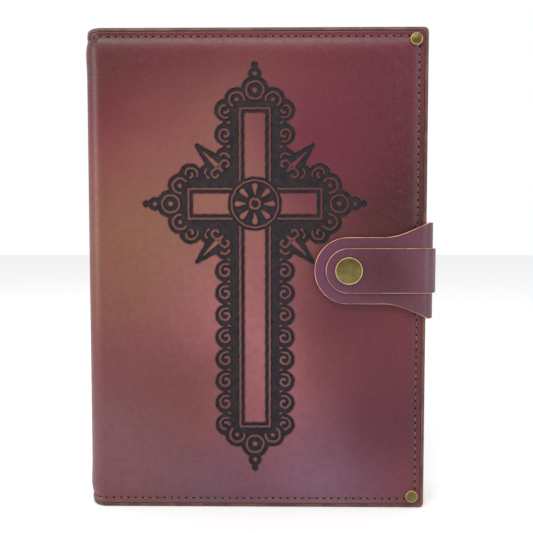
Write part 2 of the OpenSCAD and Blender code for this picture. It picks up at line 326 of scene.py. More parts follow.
# Dye of the cover, and dye and painted sheen of the strap: distance from the spine (on the strap, from
# the middle of the book), height, radius of the patch and colour
DYE_BASE = (103, 37, 45)
DYE = [
    (28, 122, 70, (118, 82, 58)), (20, 30, 70, (101, 65, 70)), (10, 222, 60, (60, 22, 15)),
    (60, 210, 60, (86, 27, 35)), (78, 150, 80, (134, 88, 76)), (80, 75, 70, (152, 92, 95)),
    (140, 205, 75, (80, 24, 38)), (146, 145, 65, (42, 10, 12)), (115, 10, 60, (110, 80, 101)),
    (150, 45, 60, (66, 12, 36)), (60, 0, 50, (94, 65, 79)), (45, 60, 50, (94, 45, 42)),
    (110, 170, 50, (90, 21, 46)), (120, 90, 55, (76, 18, 34)),
]
STRAP_BASE = (122, 70, 88)
# on the strap, the light patch at 86 mm lies on its bend round the fore-edge and is painted sheen; the
# other two patches are dye
STRAP_DYE_AND_SHEEN = [(32, 113, 36, (122, 62, 98)), (58, 113, 34, (86, 26, 42)), (86, 113, 26, (146, 98, 114))]


def leather_shader(name, base, patches, gain, edge_color, edge_width):
    """Dyed vegetable-tanned leather: soft patches of dye (and a patch of painted sheen on the strap's
    bend), pores, fine grain and burnished edges.
    """
    shader = Shader(name, roughness=0.36, specular_ior_level=0.34)
    place = shader.place()
    drift = shader.noise(place, 14, 2)
    wander = shader.add("TexNoise", {"Vector": place, "Scale": 18.0, "Detail": 2.0}, "Color")
    wander = shader.vector("SCALE", shader.vector("SUBTRACT", wander, (0.5, 0.5, 0.5)), 0.028)
    flat = shader.vector("ADD", shader.value("flat_place", "Vector"), wander)
    color = srgb(*base, gain)
    for across, up, radius, patch in patches:
        distance = shader.vector("DISTANCE", flat, (across * MM, 0.0, up * MM), "Value")
        amount = shader.ramp(distance, radius * MM, 0.0, 0.0, 0.85)
        color = shader.mix(amount, color, srgb(*patch, gain))
    color = shader.mix(shader.ramp(drift, 0.35, 0.65, 0.0, 0.14), color, srgb(*base, gain * 0.8))
    mottle = shader.noise(place, 330, 4, 0.62)
    color = shader.mix(shader.ramp(mottle, 0.4, 0.66, 0.0, 0.16), color, srgb(*base, gain * 0.5))
    speck = shader.noise(place, 1150, 2, 0.6)
    color = shader.mix(shader.ramp(speck, 0.5, 0.75, 0.0, 0.07), color, srgb(170, 112, 108))
    burn = shader.ramp(shader.value("burn"), 0.0, 1.0, 0.0, 0.7)
    color = shader.mix(burn, color, srgb(60, 34, 34))
    # burnished band along the edge, with a dark crease beside it
    edge = shader.value("edge_distance")
    cloud = shader.ramp(shader.noise(place, 160, 3), 0.35, 0.65)
    tan = shader.mix(cloud, srgb(*edge_color), srgb(*(0.72 * part for part in edge_color)))
    color = shader.mix(shader.ramp(edge, edge_width, edge_width - 0.22), color, tan)
    crease = shader.math("MULTIPLY", shader.ramp(edge, edge_width + 0.35, edge_width),
                         shader.ramp(edge, edge_width - 0.3, edge_width - 0.05))
    color = shader.mix(shader.math("MULTIPLY", crease, 0.75), color, srgb(38, 18, 20))
    grain = shader.math("MULTIPLY", shader.noise(place, 900, 3), 0.45)
    height = shader.math("ADD", shader.math("MULTIPLY", mottle, 0.55), grain)
    return shader.coat(color, height, 0.00016, 0.42, Roughness=shader.ramp(mottle, 0.3, 0.7, 0.32, 0.42))


def engraved_material():
    """Leather burnt dark in fine passes across the cover."""
    shader = Shader("engraved_leather", roughness=0.78, specular_ior_level=0.25)
    place = shader.place()
    soot = shader.noise(place, 420, 4, 0.6)
    color = shader.mix(shader.ramp(soot, 0.35, 0.65), srgb(22, 18, 22), srgb(36, 29, 32))
    scan = shader.wave(place, 480.0, "Z", 1.5, 1.0)
    height = shader.math("ADD", shader.math("MULTIPLY", scan, 0.4), soot)
    return shader.coat(color, height, 0.00012, 0.5)


SEAM_LIGHT, SEAM_DARK = (132, 108, 88), (82, 62, 52)


def thread_material(name, light, dark):
    shader = Shader(name, roughness=0.72)
    twist = shader.wave(shader.place(), 650.0, "DIAGONAL", 0.6)
    fuzz = shader.noise(shader.place(), 700, 3)
    color = shader.mix(shader.ramp(fuzz, 0.3, 0.7), srgb(*light), srgb(*dark))
    # dark lines along the twist: painted shade in the grooves between the thread's strands
    color = shader.mix(shader.ramp(twist, 0.0, 0.5, 0.5, 0.0), color, srgb(30, 24, 18))
    return shader.coat(color, twist, 0.00012, 0.7)


def hole_shade_material():
    # near-black discs over the stitch holes: painted shade inside the holes
    shader = Shader("seam_hole_shade", roughness=0.95, specular_ior_level=0.1)
    depth = shader.noise(shader.place(), 500, 2)
    return shader.set(Base_Color=shader.mix(depth, srgb(12, 9, 10), srgb(26, 20, 20)))


def brass_material():
    """Antique brass: brown in the hollows, worn bright on the rims."""
    shader = Shader("antique_brass", metallic=1.0, roughness=0.36)
    place = shader.place()
    cloud = shader.noise(place, 240, 4, 0.6)
    rim = shader.value("rim")
    patina = shader.mix(shader.ramp(cloud, 0.3, 0.7), srgb(104, 90, 54), srgb(128, 114, 72))
    color = shader.mix(rim, patina, srgb(186, 170, 118))
    fine = shader.noise(place, 1600, 2)
    roughness = shader.math("ADD", shader.ramp(cloud, 0.3, 0.7, 0.30, 0.44),
                            shader.math("MULTIPLY", fine, 0.06))
    return shader.coat(color, fine, 0.00003, 0.5, Roughness=roughness)


def paper_material(name, light, dark, leaves=False):
    """Paper with fibres, and with darker lines between leaves where they lie in a stack, painted as the
    shade between the leaves.
    """
    shader = Shader(name, roughness=0.85, specular_ior_level=0.2)
    place = shader.place()
    fibre = shader.noise(place, 900, 4, 0.65)
    tone = shader.noise(place, 22, 2)
    color = shader.mix(shader.ramp(tone, 0.3, 0.7), srgb(*light), srgb(*dark))
    color = shader.mix(shader.ramp(fibre, 0.5, 0.75, 0.0, 0.18), color, srgb(150, 128, 96))
    if leaves:
        # darker lines along the stacked leaves: painted shade in the gaps between leaves
        stretched = shader.add("Mapping", {"Vector": place, "Scale": (1.5, 3800.0, 1.5)})
        stack = shader.noise(stretched, 1.0, 1.0)
        color = shader.mix(shader.ramp(stack, 0.42, 0.62, 0.0, 0.45), color, srgb(168, 150, 118))
    return shader.coat(color, fibre, 0.00004, 0.4)


def cloth_material(name, light, dark):
    shader = Shader(name, roughness=0.8)
    place = shader.place()
    weave = shader.math("MAXIMUM", *(shader.wave(place, 420.0, direction, 0.4) for direction in "XZ"))
    color = shader.mix(shader.ramp(weave, 0.4, 1.0), srgb(*dark), srgb(*light))
    return shader.coat(color, weave, 0.0001, 0.5)


def suede_material():
    shader = Shader("pocket_leather", roughness=0.82, sheen_weight=0.25, sheen_roughness=0.5)
    place = shader.place()
    nap = shader.noise(place, 650, 5, 0.7)
    tone = shader.noise(place, 26, 3)
    color = shader.mix(shader.ramp(tone, 0.3, 0.7), srgb(122, 74, 54), srgb(98, 56, 44))
    color = shader.mix(shader.ramp(nap, 0.4, 0.7, 0.0, 0.4), color, srgb(150, 102, 78))
    return shader.coat(color, nap, 0.0002, 0.5)


def headband_material():
    shader = Shader("headband", roughness=0.6)
    stripe = shader.wave(shader.place(), 160.0, "Y")
    color = shader.mix(shader.ramp(stripe, 0.45, 0.55), srgb(118, 44, 50), srgb(218, 198, 150))
    return shader.coat(color, stripe, 0.0002, 0.5)


# ---- leather cover


def cover_point(s, z, depth, back=False):
    """Point of the cover from its unfolded place: s runs from 0 at the start of the spine's
    bend, below 0 on the cover and above 0 round the spine; depth is measured inwards."""
    s, z, depth = np.broadcast_arrays(np.asarray(s, float), z, depth)
    turn = np.clip(s, 0, ARC) / BEND_R
    radius = BEND_R - depth
    centre = SPINE_X + BEND_R
    x = np.where(s < 0, centre - s, centre - radius * np.sin(turn))
    y = FACE_Y + BEND_R - radius * np.cos(turn) + np.maximum(s - ARC, 0)
    if back:
        y = 2 * MID_Y - y
    return np.stack([x, y, z], axis=-1)


def edge_distance(s, z):
    return np.minimum(np.minimum(z, HEIGHT - z), s + COVER)


def relief(s, z, back):
    """Depth of the leather's surface below the plane of the cover."""
    depth = np.interp(edge_distance(s, z), RELIEF[:, 0], RELIEF[:, 1])
    wave = 0.05 * np.sin(0.055 * s + 1.3) * np.sin(0.041 * z + 0.4) + 0.035 * np.sin(0.11 * z - 0.07 * s)
    fade = np.clip((edge_distance(s, z) - 6) / 8, 0, 1) * np.clip((-s - 3) / 12, 0, 1)
    depth = depth + wave * fade
    if not back:
        # the snap's flange presses a shallow dish into the leather
        depth = depth + 0.4 * np.clip((7.0 - np.hypot(s - SNAP_S, z - SNAP_Z)) / 1.6, 0, 1)
    return depth


def round_corners(s, z):
    """Moves the grid's points near the two square outer corners onto round ones."""
    a = CORNER_R - (s + COVER)
    low = z < HEIGHT / 2
    b = CORNER_R - np.where(low, z, HEIGHT - z)
    inside = (a > 0) & (b > 0)
    scale = np.where(inside, np.maximum(a, b) / np.maximum(np.hypot(a, b), 1e-9), 1.0)
    s = np.where(inside, CORNER_R - a * scale - COVER, s)
    rounded = CORNER_R - b * scale
    z = np.where(inside, np.where(low, rounded, HEIGHT - rounded), z)
    return s, z


snap_low, snap_high = box_mm("snap_stud")
SNAP_X = (snap_low[0] + snap_high[0]) / 2
SNAP_Z = (snap_low[2] + snap_high[2]) / 2
SNAP_S = SPINE_X + BEND_R - SNAP_X

# Cross: its middle on the unfolded cover, and the grids that its engraving is cut on
CROSS_U = (BEND_R + COVER) / 2
CROSS_Z = 0.64 * HEIGHT
HALF_ZONE = 56.0
ZONE_LOW = 9.0
ZONE_HIGH = 217.0
COARSE = 2.0
FINE = 0.5
STEPS = int(COARSE / FINE)
ENGRAVED = 0.38
BURN_REACH = 0.9
BARE, BURNT, FINELY_CUT = range(3)
EDGE_KNOTS = [knot for knot in RELIEF[:, 0] if knot < 7]


def panel_lines():
    zone_right = CROSS_U + HALF_ZONE - BEND_R
    fore = [-COVER + knot for knot in RELIEF[:, 0]]
    gap = np.linspace(fore[-1], -zone_right, 4)[1:-1]
    zone = np.arange(-zone_right, -zone_right + 2 * HALF_ZONE + 0.01, COARSE)
    near = np.linspace(zone[-1], -3.0, 5)[1:]
    s_lines = np.concatenate([fore, gap, zone, near])
    z_lines = np.concatenate([EDGE_KNOTS, np.arange(ZONE_LOW, ZONE_HIGH + 0.01, COARSE),
                              [HEIGHT - knot for knot in reversed(EDGE_KNOTS)]])
    return s_lines, z_lines, len(fore) + len(gap), len(EDGE_KNOTS)


class Engraving:
    """Signed distance in millimetres over the zone's fine grid: below zero the leather is engraved.
    aim() turns the drawing's a and b, so that every limb of the cross is drawn in the same way."""

    def __init__(self):
        across = np.arange(HALF_ZONE, -HALF_ZONE - 0.01, -FINE)
        up = np.arange(ZONE_LOW, ZONE_HIGH + 0.01, FINE) - CROSS_Z
        x, y = np.meshgrid(across, up, indexing="ij")
        # the burnt edges waver a little
        self.x = x + 0.09 * np.sin(1.1 * y + 0.7 * x) + 0.07 * np.sin(2.3 * y)
        self.y = y + 0.09 * np.sin(1.3 * x + 0.5 * y) + 0.07 * np.sin(2.7 * x + 1.0)
        self.field = np.full(x.shape, 9.0)
        self.aim("whole")

    def aim(self, limb):
        """a runs out along the limb, and b across it, alike on its two sides."""
        x, y = self.x, self.y
        self.a, self.b = {"whole": (x, y), "arms": (np.abs(x), np.abs(y)),
                          "head": (y, np.abs(x)), "foot": (-y, np.abs(x))}[limb]

    def cut(self, distance):
        self.field = np.minimum(self.field, distance)

    def keep(self, distance):
        self.field = np.maximum(self.field, -distance)

    def disc(self, a, b, r):
        return np.hypot(self.a - a, self.b - b) - r

    def ring(self, a, b, r, width):
        return np.abs(self.disc(a, b, r)) - width / 2

    def rod(self, a0, b0, a1, b1, width, end_width):
        da, db = a1 - a0, b1 - b0
        t = np.clip(((self.a - a0) * da + (self.b - b0) * db) / (da * da + db * db), 0, 1)
        return np.hypot(self.a - a0 - t * da, self.b - b0 - t * db) - (width + (end_width - width) * t) / 2

    def box(self, a0, a1, half_b, r=0.3):
        """Rounded rectangle from a0 to a1 along the limb."""
        qa = np.abs(self.a - (a0 + a1) / 2) - (a1 - a0) / 2 + r
        qb = np.abs(self.b) - half_b + r
        return np.hypot(np.maximum(qa, 0), np.maximum(qb, 0)) + np.minimum(np.maximum(qa, qb), 0) - r

    def curl(self, a, b, r0, r1, start, sweep, width, end_width):
        """Stroke along a spiral, its width running evenly from one end to the other."""
        t = np.linspace(0, 1, max(6, int(abs(sweep) / 16)))
        turn = np.radians(start + sweep * t)
        radius = r0 + (r1 - r0) * t
        points = list(zip(a + radius * np.cos(turn), b + radius * np.sin(turn)))
        widths = width + (end_width - width) * t
        strokes = [self.rod(*p, *q, w0, w1) for p, q, w0, w1 in zip(points, points[1:], widths, widths[1:])]
        return np.minimum.reduce(strokes)


# Plain budded cross: length of each limb, half widths of its frame, and its scalloped border
LIMBS = {"arms": 34.0, "head": 47.0, "foot": 108.0}
FRAME = 10.0
LINE_OUT = 7.4
LINE_IN = 6.4
PANEL = 4.9
SCALLOP_R = 5.2
SCALLOP_PITCH = 10.2
BORDER_START = 21.0
BOSS_R = 12.4


def limb_border(e, length):
    """Even scallops down both sides of a limb, each with a curl in it and a bead after it."""
    count = int((length - BORDER_START) / SCALLOP_PITCH) + 1
    pitch = (length - BORDER_START - 4) / max(1, count - 1)
    for k in range(count):
        a = BORDER_START + k * pitch
        e.cut(e.disc(a, FRAME + 3.4, SCALLOP_R))
        e.keep(e.curl(a, FRAME + 3.7, 3.5, 0.9, 200, -400, 0.9, 1.3))
        if k < count - 1:
            e.cut(e.disc(a + pitch / 2, FRAME + 1.6, 3.0))
            e.keep(e.disc(a + pitch / 2, FRAME + 2.2, 0.9))


def limb_end(e, length):
    """Three round buds, with a small finial beyond the middle one."""
    for a, b, r in ((5.2, 0, 6.4), (0.8, 8.4, 5.6), (12.6, 0, 3.0), (16.6, 0, 1.5)):
        e.cut(e.disc(length + a, b, r))
    for a, b, r in ((5.2, 0, 4.0), (0.8, 8.4, 3.4)):
        e.keep(e.ring(length + a, b, r, 1.1))
    for a, b, r in ((5.2, 0, 1.3), (0.8, 8.4, 1.1), (12.6, 0, 1.1)):
        e.keep(e.disc(length + a, b, r))


def corner_leaves(e):
    """A pointed leaf in each corner of the crossing, between two curls."""
    e.cut(e.disc(14.5, 14.5, 7.0))
    e.cut(e.rod(16, 16, 27, 27, 11.0, 1.6))
    e.keep(e.rod(18, 18, 23.8, 23.8, 2.4, 0.8))
    e.keep(e.curl(13.6, 18.0, 3.0, 1.0, -60, 300, 1.0, 1.2))
    e.keep(e.curl(18.0, 13.6, 3.0, 1.0, 150, -300, 1.0, 1.2))


def limb_frame(e, length):
    """Heavy band, a fine line of bare leather, a thin band and the bare panel inside."""
    e.cut(e.box(0, length, FRAME, 0.5))
    e.keep(np.maximum(e.box(0, length - 2.6, LINE_OUT), -e.box(-2, length - 3.6, LINE_IN)))
    e.keep(e.box(0, length - 5.1, PANEL, 0.2))


def boss(e):
    """Round stone in a flower of eight petals."""
    e.cut(e.disc(0, 0, BOSS_R))
    e.keep(e.ring(0, 0, BOSS_R - 1.5, 0.9))
    for turn in np.arange(8) * math.pi / 4:
        a, b = math.cos(turn), math.sin(turn)
        e.keep(e.rod(4.6 * a, 4.6 * b, 8.2 * a, 8.2 * b, 1.0, 2.8))
    e.keep(e.disc(0, 0, 2.9))
    e.cut(e.disc(0, 0, 1.7))


def cross_field():
    e = Engraving()
    for draw in (limb_border, limb_end):
        for limb, length in LIMBS.items():
            e.aim(limb)
            draw(e, length)
    e.aim("arms")
    corner_leaves(e)
    for limb, length in LIMBS.items():
        e.aim(limb)
        limb_frame(e, length)
    e.aim("whole")
    boss(e)
    return e.field


class Sheet:
    """Points of a cover panel, shared by the faces that meet in them."""

    def __init__(self):
        self.index, self.places, self.sunk, self.burn, self.faces, self.kinds = {}, [], [], [], [], []

    def point(self, s, z, sunk=0.0, burn=0.0, key=None):
        key = key or (round(s * 1000), round(z * 1000), sunk)
        if key not in self.index:
            self.index[key] = len(self.places)
            self.places.append((s, z))
            self.sunk.append(sunk)
            self.burn.append(burn)
        return self.index[key]

    def face(self, points, kind=0):
        self.faces.append(tuple(points))
        self.kinds.append(kind)


def cut_cell(sheet, field, i, j, place):
    """Splits one fine cell along the edge of the engraving and adds the wall between."""
    corners = [(i, j), (i + 1, j), (i + 1, j + 1), (i, j + 1)]
    values = [field[corner] for corner in corners]
    inside = [bool(value < 0) for value in values]

    def at_corner(k, dark):
        return sheet.point(*place(*corners[k]), ENGRAVED * dark, max(0.0, 1 - values[k] / BURN_REACH))

    if len(set(inside)) == 1:
        sheet.face([at_corner(k, inside[0]) for k in range(4)], int(inside[0]))
        return
    crossings = {}
    for k in range(4):
        n = (k + 1) % 4
        if inside[k] != inside[n]:
            t = min(max(values[k] / (values[k] - values[n]), 0.06), 0.94)
            ends = zip(place(*corners[k]), place(*corners[n]))
            crossings[k] = tuple(a + (b - a) * t for a, b in ends)
    # runs of corners on one side of the edge, each with the crossings beside it
    runs = []
    start = next(k for k in range(4) if inside[k] != inside[k - 1])
    for k in ((start + step) % 4 for step in range(4)):
        if inside[k] != inside[k - 1]:
            runs.append((inside[k], [("edge", (k - 1) % 4)]))
        runs[-1][1].append(("corner", k))
        if inside[k] != inside[(k + 1) % 4]:
            runs[-1][1].append(("edge", k))
    if len(runs) == 4:
        joined = sum(values) < 0
        merged = sum((run for dark, run in runs if dark == joined), [])
        runs = [run for run in runs if run[0] != joined] + [(joined, merged)]
    for dark, run in runs:
        ring = [at_corner(k, dark) if kind == "corner" else sheet.point(*crossings[k], ENGRAVED * dark, 1.0)
                for kind, k in run]
        sheet.face(ring, int(dark))
        for p, q in zip(run, run[1:] + run[:1]):
            if dark and p[0] == q[0] == "edge":
                a, b = crossings[p[1]], crossings[q[1]]
                sheet.face([sheet.point(*b, ENGRAVED), sheet.point(*a, ENGRAVED),
                            sheet.point(*a, 0.0, 1.0), sheet.point(*b, 0.0, 1.0)], 1)


def plain_cell(sheet, s_lines, z_lines, state, i, j):
    """One coarse cell, with extra points on the sides that it shares with finely cut cells."""
    sunk = ENGRAVED if state[i, j] == BURNT else 0.0
    corners = [(i, j), (i + 1, j), (i + 1, j + 1), (i, j + 1)]
    beside = [(i, j - 1), (i + 1, j), (i, j + 1), (i - 1, j)]
    ring = []
    for p, q, neighbour in zip(corners, corners[1:] + corners[:1], beside):
        for k in range(STEPS if state[neighbour] == FINELY_CUT else 1):
            t = k / STEPS
            ring.append(sheet.point(s_lines[p[0]] * (1 - t) + s_lines[q[0]] * t,
                                    z_lines[p[1]] * (1 - t) + z_lines[q[1]] * t, sunk))
    sheet.face(ring, 1 if sunk else 0)


def cover_panel(name, back, materials):
    """Flat part of one cover's outer leather, with the engraving on the front."""
    s_lines, z_lines, zone_i, zone_j = panel_lines()
    sheet = Sheet()
    state = np.zeros((len(s_lines) + 1, len(z_lines) + 1), int)
    if not back:
        field = cross_field()
        for i in range(int(2 * HALF_ZONE / COARSE)):
            for j in range(int((ZONE_HIGH - ZONE_LOW) / COARSE)):
                block = field[i * STEPS:(i + 1) * STEPS + 1, j * STEPS:(j + 1) * STEPS + 1]
                burnt, bare = block.max() < 0, block.min() > 0.5
                state[zone_i + i, zone_j + j] = BURNT if burnt else BARE if bare else FINELY_CUT

    def place(a, b):
        return s_lines[zone_i] + a * FINE, ZONE_LOW + b * FINE

    for i in range(len(s_lines) - 1):
        for j in range(len(z_lines) - 1):
            if state[i, j] != FINELY_CUT:
                plain_cell(sheet, s_lines, z_lines, state, i, j)
                continue
            for a in range((i - zone_i) * STEPS, (i - zone_i + 1) * STEPS):
                for b in range((j - zone_j) * STEPS, (j - zone_j + 1) * STEPS):
                    cut_cell(sheet, field, a, b, place)
    outline = ([(s, 0.0) for s in s_lines] + [(s_lines[-1], z) for z in z_lines[1:]]
               + [(s, HEIGHT) for s in s_lines[-2::-1]] + [(s_lines[0], z) for z in z_lines[-2:0:-1]])
    inner = [sheet.point(s, z, key=("inner", k)) for k, (s, z) in enumerate(outline)]
    outer = [sheet.point(s, z) for s, z in outline]
    for k in range(len(outline)):
        sheet.face([outer[k], outer[k - 1], inner[k - 1], inner[k]])
    sheet.face(inner[::-1])
    s_flat, z_flat = np.array(sheet.places).T
    s, z = round_corners(s_flat, z_flat)
    depth = relief(s, z, back) + np.array(sheet.sunk)
    depth[inner] = LEATHER
    points = cover_point(s, z, depth, back)
    # the lines run towards the spine, so a front face needs turning to look outwards
    faces = sheet.faces if back else [face[::-1] for face in sheet.faces]
    values = {"rest_place": points * MM, "flat_place": flat_place(s, z),
              "edge_distance": edge_distance(s_flat, z_flat), "burn": sheet.burn}
    return add_mesh(name, points, faces, materials, sheet.kinds, values, 40)


def flat_place(s, z):
    """Unfolded place in metres: across from the spine's outside, and up."""
    across = np.where(s < 0, BEND_R - s, BEND_R * (1 - np.clip(s, 0, ARC) / ARC))
    return np.stack([across * MM, np.zeros_like(across), z * MM], axis=-1)


def cover_wrap(name, back, material):
    """Leather from the edge of the panel round one corner to the middle of the spine."""
    s_lines = np.concatenate([[-3, -2, -1], np.linspace(0, ARC, 19),
                              ARC + np.linspace(0, SPINE_HALF, 5)[1:]])
    z_lines = panel_lines()[1]
    s, z = np.meshgrid(s_lines, z_lines, indexing="ij")
    depth = relief(s, z, back)
    outer = cover_point(s, z, depth, back).reshape(-1, 3)
    inner = cover_point(s_lines[:, None], np.array([0, HEIGHT])[None], LEATHER, back).reshape(-1, 3)
    rows, columns = s.shape
    faces = []
    for i in range(rows - 1):
        for j in range(columns - 1):
            k = i * columns + j
            faces.append((k, k + 1, k + columns + 1, k + columns))
        first, last = rows * columns + 2 * i, rows * columns + 2 * i + 1
        faces.append((i * columns, (i + 1) * columns, first + 2, first))
        faces.append(((i + 1) * columns - 1, last, last + 2, (i + 2) * columns - 1))
        faces.append((first, first + 2, last + 2, last))
    if back:
        faces = [face[::-1] for face in faces]
    points = np.concatenate([outer, inner])
    s_all = np.concatenate([s.ravel(), np.repeat(s_lines, 2)])
    z_all = np.concatenate([z.ravel(), np.tile([0, HEIGHT], rows)])
    values = {"rest_place": points * MM, "flat_place": flat_place(s_all, z_all),
              "edge_distance": np.minimum(z_all, HEIGHT - z_all)}
    return add_mesh(name, points, faces, [material], None, values, 50)


def seam_marks(start, stop):
    """Places of a seam's holes along a straight run."""
    return np.linspace(start, stop, max(1, round(abs(stop - start) / STITCH)) + 1)


def sew(stitches, holes, path, back, surface, sink, rise, sign):
    """Stitches between neighbouring holes along path, a list of (s, z), and a near-black disc at each hole,
    painted as the shade inside it. A stitch starts at sink below the surface and bows up to rise; sign is
    -1 on the inside of the cover."""
    margin = 0.17
    t = np.linspace(0, 1, 9)
    u = margin + (1 - 2 * margin) * t
    depth = surface + sign * (sink + (rise - sink) * np.sin(math.pi * t) ** 0.6)
    for (s0, z0), (s1, z1) in zip(path, path[1:]):
        s, z = s0 + (s1 - s0) * u, z0 + (z1 - z0) * u
        centre = cover_point(s, z, depth, back)
        up = cover_point(s, z, depth - sign, back) - centre
        stitches.add(*tube(centre, THREAD_R, up))
    turn = np.arange(10) * 2 * math.pi / 10
    rim_face = tuple(range(10)) if back != (sign < 0) else tuple(reversed(range(10)))
    # a near-black disc over each hole, painted as the shade inside it
    for s0, z0 in path:
        rim = cover_point(s0 + 0.58 * np.cos(turn), z0 + 0.54 * np.sin(turn), surface - sign * 0.1, back)
        holes.add(rim, [rim_face])


def seam(names, runs, back, surface, materials, sink=0.22, rise=-0.2, sign=1):
    """Two pieces for the runs of one seam: its stitches, and the dark discs painted as shade in its holes.
    """
    stitches, holes = Parts(), Parts()
    for run in runs:
        sew(stitches, holes, run, back, surface, sink, rise, sign)
    return [parts.piece(name, [material])
            for parts, name, material in zip((stitches, holes), names, materials)]


def cover_seams(side, back, materials):
    """Outer seam of one cover, split where the leather bends, and the seam inside its pocket."""
    rivet = RIVET_INSET + RIVET_CLEAR
    levels = (SEAM, HEIGHT - SEAM)
    upright = [(SEAM - COVER, z) for z in seam_marks(rivet, HEIGHT - rivet)]

    def level_runs(start, stop):
        return [[(s, z) for s in seam_marks(start, stop)] for z in levels]

    outer = seam((side + "_stitches", side + "_stitch_hole_shades"),
                 level_runs(rivet - COVER, SPINE_SEAM) + [upright], back, GROOVE, materials)
    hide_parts(side + "_seam_thread")
    pocket_low, pocket_high = box_mm(side + "_pocket")
    pocket_end = SPINE_X + BEND_R - pocket_low[0] - 2
    inside = BACK_Y - pocket_low[1] if back else pocket_high[1] - FACE_Y
    inner = seam((side + "_pocket_stitches", side + "_pocket_hole_shades"),
                 level_runs(rivet - COVER, pocket_end) + [upright], back, inside, materials, 0.15, -0.1, -1)
    for piece in outer + inner:
        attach(piece, side + "_cover")
    bend = seam((side + "_spine_stitches", side + "_spine_hole_shades"),
                level_runs(SPINE_SEAM, ARC + SPINE_HALF), back, GROOVE, materials)
    for piece in bend:
        bend_leather(piece, back)
    if not back:
        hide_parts("spine_seam_thread")


def bend_leather(piece, back):
    start = cover_point(0, 0, 0, back) * MM
    end = cover_point(ARC, 0, 0, back) * MM
    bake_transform(piece)


rivet_low, rivet_high = box_mm("front_rivet_caps")
RIVET_R = (rivet_high[0] - rivet_low[0]) / 2
RIVET_INSET = FORE_X - (rivet_low[0] + rivet_high[0]) / 2
RIVET_HEAD_R = RIVET_R - 0.2
RIVET_CLEAR = 3.2


def make_cover():
    leather = leather_shader("cover_leather", DYE_BASE, DYE, 0.92, (96, 62, 50), EDGE_BAND)
    engraved = engraved_material()
    sewing = (thread_material("seam_thread", SEAM_LIGHT, SEAM_DARK), hole_shade_material())
    for side, back in (("front", False), ("back", True)):
        panel = cover_panel(side + "_cover_leather", back, [leather, engraved])
        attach(panel, side + "_cover")
        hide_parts(side + "_leather")
        wrap = cover_wrap(side + "_spine_leather", back, leather)
        bend_leather(wrap, back)
        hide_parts(side + "_joint_leather", *(["spine_leather"] if back else []))
        cover_seams(side, back, sewing)


# ---- strap

tab_low, tab_high = box_mm("strap_base_tab")
rear_low, rear_high = box_mm("strap_base_back")
side_low, side_high = box_mm("strap_base_side")
top_low, top_high = box_mm("strap_top_tab")
top_rear_low = box_mm("strap_top_back")[0]
GAP = FACE_Y - tab_high[1]
BASE_T = tab_high[1] - tab_low[1]
TOP_T = top_high[1] - top_low[1]
STRAP_Z = (side_low[2] + side_high[2]) / 2
FLARE_HALF = (side_high[2] - side_low[2]) / 2
TOP_HALF = (top_high[2] - top_low[2]) / 2
FRONT_BEND_X = tab_high[0]
REAR_BEND_X = rear_high[0]
FRONT_R = FORE_X + GAP - FRONT_BEND_X
REAR_R = FORE_X + GAP - REAR_BEND_X
TAB_HALF = SNAP_X - tab_low[0]
FLARE_LENGTH = 17.0
ARC_MEAN = (BASE_T + TOP_T) / 2

# Lengths along the strap, from the middle of its round end on the back
LEG_REAR = REAR_BEND_X - (rear_low[0] + FLARE_HALF)
LEG_REAR_ARC = (REAR_R + ARC_MEAN) * math.pi / 2
LEG_SIDE = (BACK_Y - REAR_R) - (FACE_Y - GAP + FRONT_R)
LEG_FRONT_ARC = (FRONT_R + ARC_MEAN) * math.pi / 2
LEG_TAB = FRONT_BEND_X - SNAP_X
LEGS = np.cumsum([0, LEG_REAR, LEG_REAR_ARC, LEG_SIDE, LEG_FRONT_ARC, LEG_TAB])


def strap_point(s, t, k):
    """Point of the strap: s along it, t up from its middle line, k above its inner face."""
    s, t, k = np.broadcast_arrays(np.asarray(s, float), t, k)
    turn_rear = np.clip((s - LEGS[1]) / LEG_REAR_ARC, 0, 1) * math.pi / 2
    turn_front = np.clip((s - LEGS[3]) / LEG_FRONT_ARC, 0, 1) * math.pi / 2
    down = np.clip(s - LEGS[2], 0, LEG_SIDE)
    y_rear = BACK_Y - REAR_R
    y_front = FACE_Y - GAP + FRONT_R
    legs = [s <= end for end in LEGS[1:5]]
    x = np.select(legs, [REAR_BEND_X - (LEGS[1] - s), REAR_BEND_X + (REAR_R + k) * np.sin(turn_rear),
                         FORE_X + GAP + k, FRONT_BEND_X + (FRONT_R + k) * np.cos(turn_front)],
                  FRONT_BEND_X - (s - LEGS[4]))
    y = np.select(legs, [BACK_Y + k, y_rear + (REAR_R + k) * np.cos(turn_rear), y_rear - down,
                         y_front - (FRONT_R + k) * np.sin(turn_front)], FACE_Y - GAP - k)
    return np.stack([x, y, STRAP_Z + t], axis=-1)


def base_half(s):
    """Half width of the lower layer: it widens from the tab towards the fore-edge."""
    t = min(max((LEGS[4] + FLARE_LENGTH - s) / (FLARE_LENGTH + 5), 0), 1)
    rise = (t * t if t < 0.5 else t - 0.25) / 0.75
    return TAB_HALF + (FLARE_HALF - TAB_HALF) * rise


# Insets from a strap's edge, and how far its top face drops there
EDGE_INSETS = np.array([0.0, 0.1, 0.28, 0.6, 1.1, 2.0])
EDGE_DROP = np.array([0.42, 0.17, 0.04, 0.0, -0.02, 0.0])


